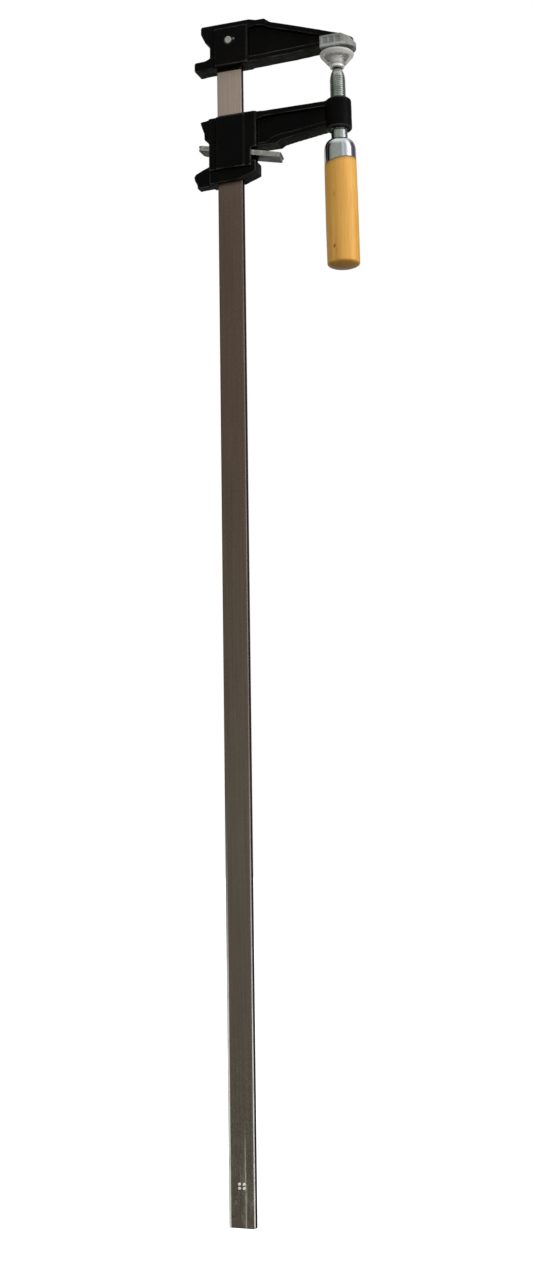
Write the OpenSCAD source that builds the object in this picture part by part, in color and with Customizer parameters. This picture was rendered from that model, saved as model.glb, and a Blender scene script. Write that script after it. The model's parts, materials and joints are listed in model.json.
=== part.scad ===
// F clamp: flat steel bar, cast fixed jaw, cast sliding arm with clutch plates, screw with swivel pad.
// Origin: middle of the bar, level with the fixed jaw's clamping face.
// +Z runs up the bar to the fixed jaw, +X runs out along the arms, -Y is the front.

/* [Bar] */
// width of the flat bar
bar_w = 20.6; // [16:0.1:25]
// thickness of the flat bar
bar_t = 6; // [5:0.5:8]
// full length of the bar
bar_len = 914; // [450:1:1200]
// radius of the bar's rolled long edges
bar_corner_r = 1.2; // [0.5:0.1:2]
// height of the bar's top end above the clamping face
bar_top = 29.5; // [20:0.5:30]
// height of the stop marks above the bar's lower end
stake_up = 30; // [15:1:60]
// how far each stop mark stands out of the bar
stake_proud = 0.7; // [0.4:0.1:1.2]

/* [Jaws] */
// distance from the middle of the bar to the screw's axis
throat_x = 89.2; // [70:1:120]
// height of the fixed jaw
jaw_h = 35.3; // [30:0.2:45]
// half depth of the arm flanges
flange_half = 6.6; // [5:0.1:9]
// half thickness of the arm webs
web_half = 3; // [2:0.1:5]
// half depth of the raised block in front of the bar on the fixed jaw
block_half = 8.6; // [7:0.1:11]
// half depth of the sliding arm's housing
housing_half = 8.8; // [7.6:0.1:11]
// half depth of the raised block on the sliding arm's housing
housing_block_half = 10.2; // [8:0.1:12]
// clearance round the bar in the sliding arm, each side
bar_gap = 0.4; // [0.2:0.05:0.8]
// height of the sliding arm's top face
arm_top = -40.6; // [-60:0.2:-38]
// height of the sliding arm's bottom face
arm_bottom = -93.5; // [-120:0.5:-85]
// radius of the boss that holds the screw
boss_r = 10; // [8:0.2:13]
// height of the boss's top face
boss_top = -39.4; // [-60:0.1:-38]
// height of the boss's bottom face
boss_bottom = -63.5; // [-80:0.5:-55]

/* [Clutch] */
// tilt of the clutch plates at rest, right end down
plate_tilt = 12.8; // [8:0.5:16]
// thickness of the release plate
release_t = 1.2; // [0.8:0.1:2]
// thickness of each other clutch plate
plate_t = 0.85; // [0.6:0.05:1.5]
// half depth of the clutch plates
plate_half = 7.3; // [5:0.1:8]
// clearance between bar and plate window, along X on each side
window_gap_x = 0.75; // [0.5:0.05:1.5]
// clearance between bar and plate window, along Y on each side
window_gap_y = 0.4; // [0.2:0.05:0.8]
// outer radius of the clutch spring
spring_r = 2.5; // [2:0.1:3]
// radius of the clutch spring's wire
spring_wire_r = 0.4; // [0.3:0.05:0.6]
// number of coils of the clutch spring
spring_coils = 6; // [4:1:9]

/* [Screw] */
// crest radius of the screw thread
thread_r = 6; // [5:0.05:7]
// depth of the screw thread
thread_depth = 0.85; // [0.5:0.05:1.2]
// pitch of the screw thread
thread_pitch = 1.75; // [1.5:0.05:3]
// running clearance in the threaded boss
thread_gap = 0.06; // [0.03:0.01:0.1]
// lean of the screw from the bar, handle end outwards
screw_lean = 0.9; // [0:0.1:2]
// radius of the ball on the screw
ball_r = 4; // [3:0.1:5]
// radius of the neck behind the ball
neck_r = 2.6; // [2:0.1:3.5]
// radius of the plain collar under the boss
collar_r = 6.3; // [5.7:0.1:7]
// radius of the tang inside the handle
tang_r = 4.2; // [3:0.1:5]

/* [Swivel] */
// height of the swivel pad's face at rest
pad_face = -2.1; // [-4:0.1:-0.5]
// radius of the clear pad cap
pad_r = 13.2; // [11:0.1:16]
// radius of the metal pad disc
disc_r = 9.5; // [8:0.1:12]
// outer radius of the ball socket
hub_r = 5.1; // [5:0.1:6]
// radius of the flared rim of the ball socket
rim_r = 5.6; // [5.5:0.1:6.5]
// clearance between ball and socket
ball_gap = 0.3; // [0.3:0.05:0.5]

/* [Handle] */
// radius of the chrome ferrule
ferrule_r = 12.25; // [11:0.05:14]
// wall thickness of the ferrule
ferrule_wall = 1; // [0.8:0.1:1.5]
// radius of the wooden handle at its thickest
handle_r = 12.65; // [11:0.05:15]
// height of the ferrule's top face
ferrule_top = -71.4; // [-80:0.1:-70]
// height of the middle of the ferrule's lower edge
ferrule_bottom = -89.8; // [-100:0.1:-84]
// how far the ferrule's lower edge is out of square, in degrees
joint_skew = 10; // [0:0.5:12]
// height of the handle's lower edge
handle_bottom = -170; // [-200:1:-140]

/* [Hidden] */
$fn = 64;

bar_bottom = bar_top - bar_len;
stake_z = bar_bottom + stake_up;
jaw_wall = 4.6;
jaw_left = -bar_w / 2 - jaw_wall;
rivet_pos = [1.6, 20.4];
rivet_r = 2.9;
set_pin_pos = [6.2, 20.8];
set_pin_r = 0.9;
pin_fit = 0.03;
tip_face = 2.2;
tip_r = 7.8;
cap_wall = 2;
cap_top = 9.8;
cap_x0 = throat_x - 12;
arm_end = throat_x + 4.4;

// clutch geometry: the plates lie on a tilted frame whose origin is the fulcrum
pivot_x = -18.8;
pivot_z = -62.6;
plate_corner = 3;
plate_skew = 2.4;
spring_x = 15;
spring_top = -54.6;
spring_bottom = -69.25;

socket_top = pad_face - 1.8;
disc_t = 1.6;
ball_z = pad_face - 7.4;
// height at which the leaning screw is throat_x from the middle of the bar
lean_z = -84;
// the ball's place along the leaning axis, and the swivel's place
ball_s = lean_z + (ball_z - lean_z) / cos(screw_lean);
swivel_x = throat_x - (ball_z - lean_z) * tan(screw_lean);
hub_bottom = ball_z - 2.2;
rim_bottom = ball_z - 4.6;
ring_z = ball_z - 3.1;
shoulder_z = ball_s - 5.4;
thread_top = shoulder_z - 6.2;
thread_end = boss_bottom - 1;
collar_top = boss_bottom - 1;
tang_end = ferrule_bottom - 45.2;
handle_pin_z = ferrule_bottom + 5.8;

// Solid bar section with round long edges, running in Z.
module rounded_bar(w, t, r, h) {
    translate([-w / 2 + r, -t / 2, 0])
        cube([w - 2 * r, t, h]);
    translate([-w / 2, -t / 2 + r, 0])
        cube([w, t - 2 * r, h]);
    for (sx = [-1, 1])
        for (sy = [-1, 1])
            translate([sx * (w / 2 - r), sy * (t / 2 - r), 0])
                cylinder(r = r, h = h, $fn = 32);
}

// Frame of the leaning screw: its own Z runs along the screw's axis.
module on_screw_axis() {
    translate([throat_x, 0, lean_z])
        rotate([0, -screw_lean, 0])
            translate([0, 0, -lean_z])
                children();
}

// Plate standing in XZ, given by its outline, from -half to +half in Y.
module xz_plate(points, half) {
    translate([0, half, 0])
        rotate([90, 0, 0])
            linear_extrude(height = 2 * half)
                polygon(points);
}

// Box with round vertical edges from x0 to x1, half deep, z0 to z1.
module upright_block(x0, x1, half, z0, z1, r) {
    translate([(x0 + x1) / 2, 0, z0])
        rounded_bar(x1 - x0, 2 * half, r, z1 - z0);
}

module bar() {
    color([0.36, 0.33, 0.3])
        difference() {
            union() {
                translate([0, 0, bar_bottom])
                    rounded_bar(bar_w, bar_t, bar_corner_r, bar_len);
                for (side = [-1, 1])
                    for (dx = [-1.6, 2])
                        for (dz = [-1.5, 1.5])
                            translate([dx, side * (bar_t / 2 + stake_proud - 1.6), stake_z + dz])
                                sphere(r = 1.6, $fn = 32);
            }
            translate([rivet_pos[0], 0, rivet_pos[1]])
                rotate([90, 0, 0])
                    cylinder(r = rivet_r + pin_fit, h = bar_t + 2, center = true);
            translate([set_pin_pos[0], 0, set_pin_pos[1]])
                rotate([90, 0, 0])
                    cylinder(r = set_pin_r + pin_fit, h = bar_t + 2, center = true);
        }
}

module jaw_solid() {
    // web
    xz_plate([[jaw_left, 1], [jaw_left, jaw_h - 1], [24.2, 32.8], [30.7, 32.8], [35.8, 29.2],
        [60.4, 21.2], [arm_end, 9.6], [arm_end, 3.2], [71.2, 3.2], [19.2, 1.2]], web_half);
    // top flange with the small lump above the root of the arm
    xz_plate([[-22, jaw_h - 1], [-21.2, jaw_h], [18.7, jaw_h], [24.2, 33.8], [30, 34], [31.2, 33.7],
        [35.8, 30.2], [60.4, 22.2], [arm_end, 10.8], [arm_end, 6.4], [60.4, 17.4], [35.8, 25.4],
        [30.2, 28.4], [23.2, 29.6], [-13.8, 19.4], [-15.4, 19.6], [-18.6, 21.8], [-21.2, 27.2],
        [-22, 29]], flange_half);
    // bottom flange, the clamping side
    xz_plate([[-27.7, 0], [-26.9, -1.3], [-13.8, -0.7], [11.2, 0], [55.2, 1.1], [76.4, tip_face],
        [arm_end, tip_face], [arm_end, 6.6], [71.2, 6.6], [21.2, 5], [17.2, 5.4], [-15.3, 8.4],
        [-17.8, 7.2], [-26.7, 6.7], [-27.7, 5.8]], flange_half + 0.4);
    // housing round the bar and the raised block in front of it
    upright_block(jaw_left, 18.2, flange_half, 0.3, jaw_h - 0.6, 1);
    upright_block(-10.6, 17.8, block_half, 0.3, jaw_h - 4.4, 2);
    // anvil under the clear cap
    translate([arm_end, 0, tip_face])
        cylinder(r = tip_r, h = 6.4);
    translate([cap_x0 + 1, -tip_r, tip_face])
        cube([arm_end - cap_x0 - 1, 2 * tip_r, 4.2]);
    // small cast boss on the web, front and back
    translate([32.8, 0, 30])
        rotate([90, 0, 0])
            cylinder(r = 1.3, h = 2 * flange_half + 0.8, center = true, $fn = 24);
}

module fixed_jaw() {
    color([0.05, 0.05, 0.05])
        difference() {
            jaw_solid();
            translate([0, 0, -1])
                rounded_bar(bar_w + 0.06, bar_t + 0.06, bar_corner_r, bar_top + 1.05);
            translate([rivet_pos[0], 0, rivet_pos[1]])
                rotate([90, 0, 0])
                    cylinder(r = rivet_r + pin_fit, h = 30, center = true);
            translate([set_pin_pos[0], 0, set_pin_pos[1]])
                rotate([90, 0, 0])
                    cylinder(r = set_pin_r + pin_fit, h = 30, center = true);
        }
}

module jaw_rivet() {
    color([0.7, 0.7, 0.68])
        translate([rivet_pos[0], 0, rivet_pos[1]])
            rotate([90, 0, 0])
                rotate_extrude()
                    polygon([[0, -block_half - 0.1], [0.9, -block_half - 0.35],
                        [2.3, -block_half - 0.3], [rivet_r, -block_half + 0.1],
                        [rivet_r, block_half - 0.1], [2.3, block_half + 0.3],
                        [0.9, block_half + 0.35], [0, block_half + 0.1]]);
}

module jaw_set_pin() {
    color([0.6, 0.6, 0.6])
        translate([set_pin_pos[0], 0, set_pin_pos[1]])
            rotate([90, 0, 0])
                cylinder(r = set_pin_r, h = 2 * block_half - 0.2, center = true, $fn = 32);
}

module cap_blank(r, x0, z0, z1) {
    translate([arm_end, 0, z0])
        cylinder(r = r, h = z1 - z0);
    translate([x0, -r, z0])
        cube([arm_end - x0, 2 * r, z1 - z0]);
}

module fixed_jaw_cap() {
    cap_r = tip_r + cap_wall;
    color([0.8, 0.82, 0.82, 0.5])
        difference() {
            cap_blank(cap_r, cap_x0, 0, cap_top);
            // inside, clear of the anvil and of the arm above it
            cap_blank(tip_r + 0.05, cap_x0 - 1, tip_face - 0.05, 8.65);
            xz_plate([[cap_x0 - 1, 6], [arm_end + 0.1, 6], [arm_end + 0.1, 12], [cap_x0 - 1, 12]],
                flange_half + 0.06);
            // sloping nose
            xz_plate([[arm_end + 0.6, 12], [arm_end + 0.6, 9.6], [arm_end + 6.4, 7.2],
                [arm_end + 9.9, 3.8], [arm_end + 12, 3.8], [arm_end + 12, 12]], 15);
            // grip windows in both sides
            for (side = [-1, 1])
                for (px = [79.2, 84.3, 89.4])
                    translate([px, side * cap_r - 0.5, 3])
                        cube([3.8, 1, 5]);
        }
}

module arm_solid() {
    // web
    xz_plate([[17.2, arm_top - 2], [83.2, arm_top - 2], [83.2, -59.5], [54.2, -62.5], [42.2, -64.2],
        [38.8, -66], [37.8, -69], [17.2, -68.5]], web_half);
    // top flange
    xz_plate([[14.2, arm_top], [83.2, arm_top - 0.5], [83.2, arm_top - 4.8], [29.2, arm_top - 4.8],
        [25.2, arm_top - 6.2], [14.2, arm_top - 8.4]], flange_half);
    // bottom flange, turned down at its root
    xz_plate([[83.2, -56.8], [83.2, -61.3], [54.2, -65.3], [43.6, -67], [41.4, -68.2], [40, -70.3],
        [20.2, -70.3], [20.2, -66.4], [32.2, -66], [36.2, -63.2], [41.2, -61.8], [54.2, -60.6]], flange_half);
    // upper left lug
    xz_plate([[-23.2, arm_top - 2.6], [-22.4, arm_top - 1.8], [-8.8, arm_top - 0.2], [15.2, arm_top],
        [15.2, -57], [-13.8, -58.8], [-18.6, -58.6], [-19.9, -57.2], [-20.2, -52],
        [-21.8, -47.6]], flange_half);
    // housing round the bar
    upright_block(-15.8, 2, housing_half, -84, arm_top - 1.1, 1.6);
    upright_block(-8, 19.8, housing_half, -84, arm_top, 1.6);
    upright_block(7.2, 24, housing_half, -69.6, arm_top, 1.6);
    upright_block(-9.4, 15.2, housing_block_half, -84.2, arm_top - 1, 2);
    // lower flange
    xz_plate([[-15.4, -80], [-15.8, -94.6], [-8.8, arm_bottom - 0.6], [9.6, arm_bottom + 0.2], [22.8, -88.6],
        [22.8, -79], [11.2, -78]], flange_half + 0.6);
    // lower left lug
    xz_plate([[-13.8, -77.2], [-22, -80.3], [-28.6, -83.3], [-30, -85.6], [-29.3, -88.6],
        [-27.5, -91.8], [-27.1, -95.2], [-13.8, -94.6]], 4);
    // boss for the screw
    on_screw_axis()
        rotate_extrude()
            polygon([[0, boss_top], [boss_r - 1.4, boss_top], [boss_r, boss_top - 1.2],
                [boss_r, boss_bottom + 0.8], [boss_r - 0.8, boss_bottom], [0, boss_bottom]]);
    // fillet between arm and boss
    xz_plate([[73.2, arm_top - 1.4], [77.2, arm_top + 0.2], [79.8, boss_top - 0.3], [83.2, boss_top - 0.3],
        [83.2, arm_top - 1.4]], 4);
}

module sliding_arm() {
    color([0.05, 0.05, 0.05])
        difference() {
            arm_solid();
            // channel for the bar
            translate([0, 0, arm_bottom - 1])
                rounded_bar(bar_w + 2 * bar_gap, bar_t + 2 * bar_gap, bar_corner_r,
                    arm_top - arm_bottom + 3);
            // slot for the clutch plates, open on both sides
            xz_plate([[-30, -61.4], [-12.8, -62.7], [20.2, -68.8], [45, -68.9], [45, -79.4],
                [20.2, -79.4], [-10.8, -73], [-30, -73]], plate_half + 0.3);
            // pocket for the clutch spring
            translate([spring_x, 0, -72])
                cylinder(r = spring_r + 0.4, h = 72 + spring_top + 0.05, $fn = 48);
            // bore for the screw
            on_screw_axis()
                translate([0, 0, boss_bottom - 1])
                    cylinder(r = thread_r + thread_gap, h = boss_top - boss_bottom + 2);
        }
}

// Quarter of a round corner, as outline points.
function corner(x, y, r, from) = [for (a = [0 : 15 : 90]) [x + r * cos(from + a), y + r * sin(from + a)]];

// Clutch plate with a bar window, on the tilted frame; top and bottom are depths below the frame.
// Its left end has wide round corners; its right end is cut a little askew, longer at the front.
module clutch_plate(x0, x1, top, bottom) {
    bar_x = -pivot_x / cos(plate_tilt) + (top + bottom) / 2 * tan(plate_tilt);
    half_w = (bar_w / 2 + (bottom - top) / 2 * sin(plate_tilt)) / cos(plate_tilt) + window_gap_x;
    translate([pivot_x, 0, pivot_z])
        rotate([0, plate_tilt, 0])
            difference() {
                translate([0, 0, -bottom])
                    linear_extrude(height = bottom - top)
                        polygon(concat(
                            corner(x1 - 0.6, plate_half - 0.6, 0.6, 0),
                            corner(x0 + plate_corner, plate_half - plate_corner, plate_corner, 90),
                            corner(x0 + plate_corner, plate_corner - plate_half, plate_corner, 180),
                            corner(x1 + plate_skew - 0.6, 0.6 - plate_half, 0.6, 270)));
                translate([bar_x - half_w, -bar_t / 2 - window_gap_y, -bottom - 1])
                    cube([2 * half_w, bar_t + 2 * window_gap_y, bottom - top + 2]);
            }
}

module release_plate() {
    color([0.75, 0.75, 0.73])
        clutch_plate(-6.2, 61.8, 0, release_t);
}

module clutch_plate_upper() {
    color([0.7, 0.7, 0.68])
        clutch_plate(-5.6, 61.2, release_t + 0.05, release_t + 0.05 + plate_t);
}

module clutch_plate_middle() {
    color([0.72, 0.72, 0.7])
        clutch_plate(-5.6, 61.2, release_t + 0.1 + plate_t, release_t + 0.1 + 2 * plate_t);
}

module clutch_plate_lower() {
    color([0.7, 0.7, 0.68])
        clutch_plate(-5.6, 61.2, release_t + 0.15 + 2 * plate_t, release_t + 0.15 + 3 * plate_t);
}

// One point on the wire of a coil: turn_deg along the coil, wire_deg round the wire.
function coil_point(coil_r, wire_r, lead, turn_deg, wire_deg) = [
    (coil_r + wire_r * cos(wire_deg)) * cos(turn_deg),
    (coil_r + wire_r * cos(wire_deg)) * sin(turn_deg),
    lead * turn_deg / 360 + wire_r * sin(wire_deg)];

module clutch_spring() {
    coil_r = spring_r - spring_wire_r;
    lead = (spring_top - spring_bottom - 2 * spring_wire_r) / spring_coils;
    steps = 18 * spring_coils;
    sides = 8;
    points = [for (i = [0 : steps])
        for (j = [0 : sides - 1])
            coil_point(coil_r, spring_wire_r, lead, i * 20, j * 360 / sides)];
    walls = [for (i = [0 : steps - 1])
        for (j = [0 : sides - 1])
            [i * sides + j, (i + 1) * sides + j, (i + 1) * sides + (j + 1) % sides,
                i * sides + (j + 1) % sides]];
    first_end = [for (j = [0 : sides - 1]) j];
    last_end = [for (j = [0 : sides - 1]) steps * sides + sides - 1 - j];
    color([0.6, 0.6, 0.6])
        translate([spring_x, 0, spring_bottom + spring_wire_r])
            polyhedron(points, concat(walls, [first_end, last_end]));
}

// Half outline of the threaded length, crest and root by turns.
function thread_profile(z_top, z_bottom) =
    let (turns = floor((z_top - z_bottom) / thread_pitch))
    [for (k = [0 : turns - 1])
        for (p = [[thread_r, 0], [thread_r, 0.3], [thread_r - thread_depth, 0.55],
            [thread_r - thread_depth, 0.75]])
            [p[0], z_top - (k + p[1]) * thread_pitch]];

module spindle() {
    neck_top = ball_s - sqrt(ball_r * ball_r - neck_r * neck_r);
    color([0.62, 0.64, 0.6])
        on_screw_axis()
            difference() {
                union() {
                    translate([0, 0, ball_s])
                        sphere(r = ball_r);
                    rotate_extrude()
                        polygon(concat([[0, neck_top + 0.5], [neck_r, neck_top + 0.5],
                            [neck_r, shoulder_z], [3.5, shoulder_z - 0.4], [4.3, shoulder_z - 1.9],
                            [5.2, shoulder_z - 4.2], [5.7, thread_top]],
                            thread_profile(thread_top, thread_end),
                            [[tang_r, thread_end], [tang_r, tang_end], [tang_r - 1, tang_end - 1],
                            [0, tang_end - 1]]));
                }
                handle_pin_hole();
            }
}

module spindle_collar() {
    color([0.72, 0.73, 0.72])
        on_screw_axis()
            rotate_extrude()
                polygon([[tang_r + pin_fit, collar_top], [collar_r - 0.4, collar_top],
                    [collar_r, collar_top - 0.4], [collar_r, ferrule_top + 0.02],
                    [tang_r + pin_fit, ferrule_top + 0.02]]);
}

module handle_pin_hole() {
    translate([0, 0, handle_pin_z])
        rotate([0, 0, 15])
            rotate([0, 90, 0])
                cylinder(r = 1.5 + pin_fit, h = 40, center = true, $fn = 32);
}

module handle_pin() {
    color([0.75, 0.75, 0.75])
        on_screw_axis()
            translate([0, 0, handle_pin_z])
                rotate([0, 0, 15])
                    rotate([0, 90, 0])
                        cylinder(r = 1.5, h = 2 * ferrule_r - 0.1, center = true, $fn = 32);
}

module swivel_socket() {
    inner = ball_r + ball_gap;
    mouth = neck_r + 1.05;
    ring_room = 1;
    color([0.72, 0.72, 0.7])
        translate([swivel_x, 0, 0])
            difference() {
                rotate_extrude()
                    polygon([[0, socket_top], [disc_r - 0.3, socket_top], [disc_r, socket_top - 0.3],
                        [disc_r, socket_top - disc_t], [hub_r, socket_top - disc_t],
                        [hub_r, hub_bottom], [rim_r, hub_bottom - 0.5], [rim_r, rim_bottom + 0.2],
                        [rim_r - 0.3, rim_bottom], [0, rim_bottom]]);
                translate([0, 0, ball_z])
                    sphere(r = inner);
                // straight entry for the ball
                translate([0, 0, ring_z])
                    cylinder(r = inner, h = ball_z - ring_z);
                // groove for the retaining ring
                translate([0, 0, ring_z - ring_room])
                    cylinder(r = 5.05, h = 2 * ring_room);
                translate([0, 0, rim_bottom - 1])
                    cylinder(r = mouth, h = 4);
            }
}

module swivel_retaining_ring() {
    color([0.4, 0.4, 0.42])
        translate([swivel_x, 0, ring_z])
            rotate_extrude()
                translate([3.95, 0])
                    circle(r = 0.45, $fn = 24);
}

module swivel_pad_cap() {
    g = 0.04;
    color([0.8, 0.82, 0.82, 0.5])
        translate([swivel_x, 0, 0])
            rotate_extrude()
                polygon([[0, pad_face], [pad_r - 0.8, pad_face], [pad_r, pad_face - 0.7],
                    [pad_r, pad_face - 1.4], [pad_r - 0.6, pad_face - 2.4],
                    [pad_r - 1.9, pad_face - 3.9], [pad_r - 3.3, pad_face - 5.5],
                    [pad_r - 4.7, pad_face - 7.2], [pad_r - 6.2, pad_face - 8.8], [rim_r, hub_bottom + 0.4],
                    [hub_r + g, hub_bottom + 0.4], [hub_r + g, socket_top - disc_t - g],
                    [disc_r + g, socket_top - disc_t - g], [disc_r + g, socket_top - 0.3],
                    [disc_r - 0.3 + g, socket_top + g], [0, socket_top + g]]);
}

module ferrule() {
    color([0.85, 0.86, 0.88])
        on_screw_axis()
            difference() {
                rotate_extrude()
                    polygon([[tang_r + pin_fit, ferrule_top], [6.6, ferrule_top],
                        [8.2, ferrule_top - 0.7], [9.9, ferrule_top - 2], [11.1, ferrule_top - 3.7],
                        [11.9, ferrule_top - 5.9], [ferrule_r, ferrule_top - 8.4],
                        [ferrule_r, ferrule_bottom - 3], [ferrule_r - ferrule_wall, ferrule_bottom - 3],
                        [ferrule_r - ferrule_wall, ferrule_top - 8.6],
                        [10.8, ferrule_top - 6.2], [10.1, ferrule_top - 4.3], [9, ferrule_top - 2.8],
                        [7.7, ferrule_top - 1.7], [6.2, ferrule_top - 1.1],
                        [tang_r + pin_fit, ferrule_top - 1.1]]);
                below_joint(0);
                handle_pin_hole();
            }
}

// Everything below the ferrule's lower edge, which is cut out of square, lower on the left.
module below_joint(gap) {
    translate([0, 0, ferrule_bottom - gap])
        rotate([0, -joint_skew, 0])
            translate([-60, -60, -120])
                cube(120);
}

module handle() {
    g = 0.04;
    core = ferrule_r - ferrule_wall - g;
    color([0.82, 0.6, 0.27])
        on_screw_axis()
            difference() {
                union() {
                    // spigot inside the ferrule
                    rotate_extrude()
                        polygon([[0, ferrule_top - 1.3], [6, ferrule_top - 1.3], [7.4, ferrule_top - 1.9],
                            [8.8, ferrule_top - 3], [9.8, ferrule_top - 4.5], [10.6, ferrule_top - 6.4],
                            [core, ferrule_top - 8.8], [core, ferrule_bottom - 6], [0, ferrule_bottom - 6]]);
                    // grip
                    intersection() {
                        rotate_extrude()
                            polygon([[0, ferrule_bottom + 3], [ferrule_r + 0.05, ferrule_bottom + 3],
                                [ferrule_r + 0.1, ferrule_bottom - 3],
                                [handle_r - 0.1, -124], [handle_r, -140], [handle_r - 0.05, -158],
                                [handle_r - 0.1, handle_bottom + 0.6], [handle_r - 0.6, handle_bottom],
                                [10.4, handle_bottom - 0.9], [7.6, handle_bottom - 1.6],
                                [4, handle_bottom - 2.1], [0, handle_bottom - 2.3]]);
                        below_joint(g);
                    }
                }
                translate([0, 0, tang_end - 1.5])
                    cylinder(r = tang_r + 0.04, h = 80);
                handle_pin_hole();
            }
}

bar();
fixed_jaw();
jaw_rivet();
jaw_set_pin();
fixed_jaw_cap();
sliding_arm();
release_plate();
clutch_plate_upper();
clutch_plate_middle();
clutch_plate_lower();
clutch_spring();
spindle();
spindle_collar();
swivel_socket();
swivel_retaining_ring();
swivel_pad_cap();
ferrule();
handle();
handle_pin();
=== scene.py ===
import json
import math

import bmesh
import bpy
from mathutils import Matrix, Vector, noise


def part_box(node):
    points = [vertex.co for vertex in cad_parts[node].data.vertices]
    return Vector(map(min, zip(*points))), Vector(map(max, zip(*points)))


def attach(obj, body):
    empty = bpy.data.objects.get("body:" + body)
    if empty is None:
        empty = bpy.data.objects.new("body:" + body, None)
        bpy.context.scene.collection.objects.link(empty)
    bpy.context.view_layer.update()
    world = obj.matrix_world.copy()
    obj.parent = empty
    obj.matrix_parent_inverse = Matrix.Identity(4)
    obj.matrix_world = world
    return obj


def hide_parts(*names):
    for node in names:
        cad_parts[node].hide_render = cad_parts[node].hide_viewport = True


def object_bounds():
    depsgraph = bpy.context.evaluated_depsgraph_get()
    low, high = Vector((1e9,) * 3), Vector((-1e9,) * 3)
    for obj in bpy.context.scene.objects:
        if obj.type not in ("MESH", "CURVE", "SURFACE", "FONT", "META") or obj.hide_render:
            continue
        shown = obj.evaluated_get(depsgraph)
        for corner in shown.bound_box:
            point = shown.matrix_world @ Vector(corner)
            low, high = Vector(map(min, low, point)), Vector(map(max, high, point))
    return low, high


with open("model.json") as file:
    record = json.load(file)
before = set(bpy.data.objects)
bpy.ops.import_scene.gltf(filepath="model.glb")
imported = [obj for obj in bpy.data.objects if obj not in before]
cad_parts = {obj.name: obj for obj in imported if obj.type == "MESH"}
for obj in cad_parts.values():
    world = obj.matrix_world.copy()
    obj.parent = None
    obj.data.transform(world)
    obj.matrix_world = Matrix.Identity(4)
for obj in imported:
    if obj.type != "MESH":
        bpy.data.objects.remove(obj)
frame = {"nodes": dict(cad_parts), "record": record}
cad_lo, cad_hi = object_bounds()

NODES = frame["nodes"]
SLOT_OF = {s["node"]: s["material_slot"] for s in frame["record"]["subparts"]}
MM = 0.001

# sizes shared with the CAD, in millimetres and in the frame's own axes
BAR_HALF_W = 10.3
BAR_HALF_T = 3.0
BAR_CORNER = 1.2
STAKE_UP = 30
STAKE_XS = (-1.6, 2.0)
STAKE_DZ = 1.5
LEAN = math.radians(0.9)
LEAN_Z = -84.0
THROAT_X = 89.2
BALL_Z = -9.5
SWIVEL_X = THROAT_X - (BALL_Z - LEAN_Z) * math.tan(LEAN)
PAD_FACE = -2.1
THREAD_END = -64.5
FERRULE_TOP = -71.4
FERRULE_LOW = -89.8
JOINT_SKEW = math.tan(math.radians(10))
TANG_R = 4.2
BORE_R = 4.23
SPRING_X = 15.0


# ---------------------------------------------------------------- meshes

def new_object(name, mesh, sharp=32):
    """A smooth-shaded object with its corners kept sharp beyond the given angle."""
    mesh.shade_smooth()
    mesh.set_sharp_from_angle(angle=math.radians(sharp))
    obj = bpy.data.objects.new(name, mesh)
    bpy.context.collection.objects.link(obj)
    return obj


def from_bmesh(name, bm, sharp=32):
    """An object from the bmesh, with all its faces turned outwards."""
    mesh = bpy.data.meshes.new(name)
    bmesh.ops.recalc_face_normals(bm, faces=bm.faces)
    bm.to_mesh(mesh)
    bm.free()
    return new_object(name, mesh, sharp)


def rounded(points, radius, steps=4):
    """The outline with each inner corner rounded; radius is one number or one per point, in mm."""
    out = []
    count = len(points)
    for i, p in enumerate(points):
        r = radius[i] if isinstance(radius, (list, tuple)) else radius
        if r <= 0 or i in (0, count - 1):
            out.append(p)
            continue
        here, before, after = Vector(p), Vector(points[i - 1]), Vector(points[i + 1])
        a, b = before - here, after - here
        cut = min(r, a.length * 0.45, b.length * 0.45)
        start, end = here + a.normalized() * cut, here + b.normalized() * cut
        for k in range(steps + 1):
            t = k / steps
            q = start * (1 - t) ** 2 + here * 2 * t * (1 - t) + end * t * t
            out.append((q.x, q.y))
    return out


def ring(bm, place, z, radius, segs):
    """Points round Z at height z, radius(angle) mm out; a single point where that is nothing."""
    if radius(0) < 1e-6:
        return [bm.verts.new(place @ Vector((0, 0, z * MM)))]
    points = []
    for k in range(segs):
        a = 2 * math.pi * k / segs
        r = radius(a)
        points.append(bm.verts.new(place @ Vector((r * math.cos(a) * MM, r * math.sin(a) * MM, z * MM))))
    return points


def skin(bm, rings):
    """Faces between neighbouring rings; a ring of one point closes in a fan."""
    for lower, upper in zip(rings, rings[1:]):
        count = max(len(lower), len(upper))
        for k in range(count if count > 1 else 0):
            j = (k + 1) % count
            if len(lower) == 1:
                bm.faces.new((lower[0], upper[k], upper[j]))
            elif len(upper) == 1:
                bm.faces.new((lower[k], upper[0], lower[j]))
            else:
                bm.faces.new((lower[k], upper[k], upper[j], lower[j]))


def lathe_into(bm, profile, place, segs=64, ripple=None):
    """Turns (radius, height) points in mm round Z, then moves them by the matrix place."""
    rings = []
    for r, z in profile:
        rings.append(ring(bm, place, z, lambda a: r + (ripple(a, z, r) if ripple else 0), segs))
    skin(bm, rings)


def lathe(name, profile, place, segs=64, ripple=None, sharp=32):
    """A turned piece of its own."""
    bm = bmesh.new()
    lathe_into(bm, profile, place, segs, ripple)
    return from_bmesh(name, bm, sharp)


def closed(profile):
    """The outline with its first point again at its end, for a ring-shaped piece."""
    return profile + [profile[0]]


def screw_axis():
    """The leaning screw's own frame, as in the CAD: its Z runs along the screw."""
    to_axis = Matrix.Translation((THROAT_X * MM, 0, LEAN_Z * MM))
    return to_axis @ Matrix.Rotation(-LEAN, 4, "Y") @ Matrix.Translation((0, 0, -LEAN_Z * MM))


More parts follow.
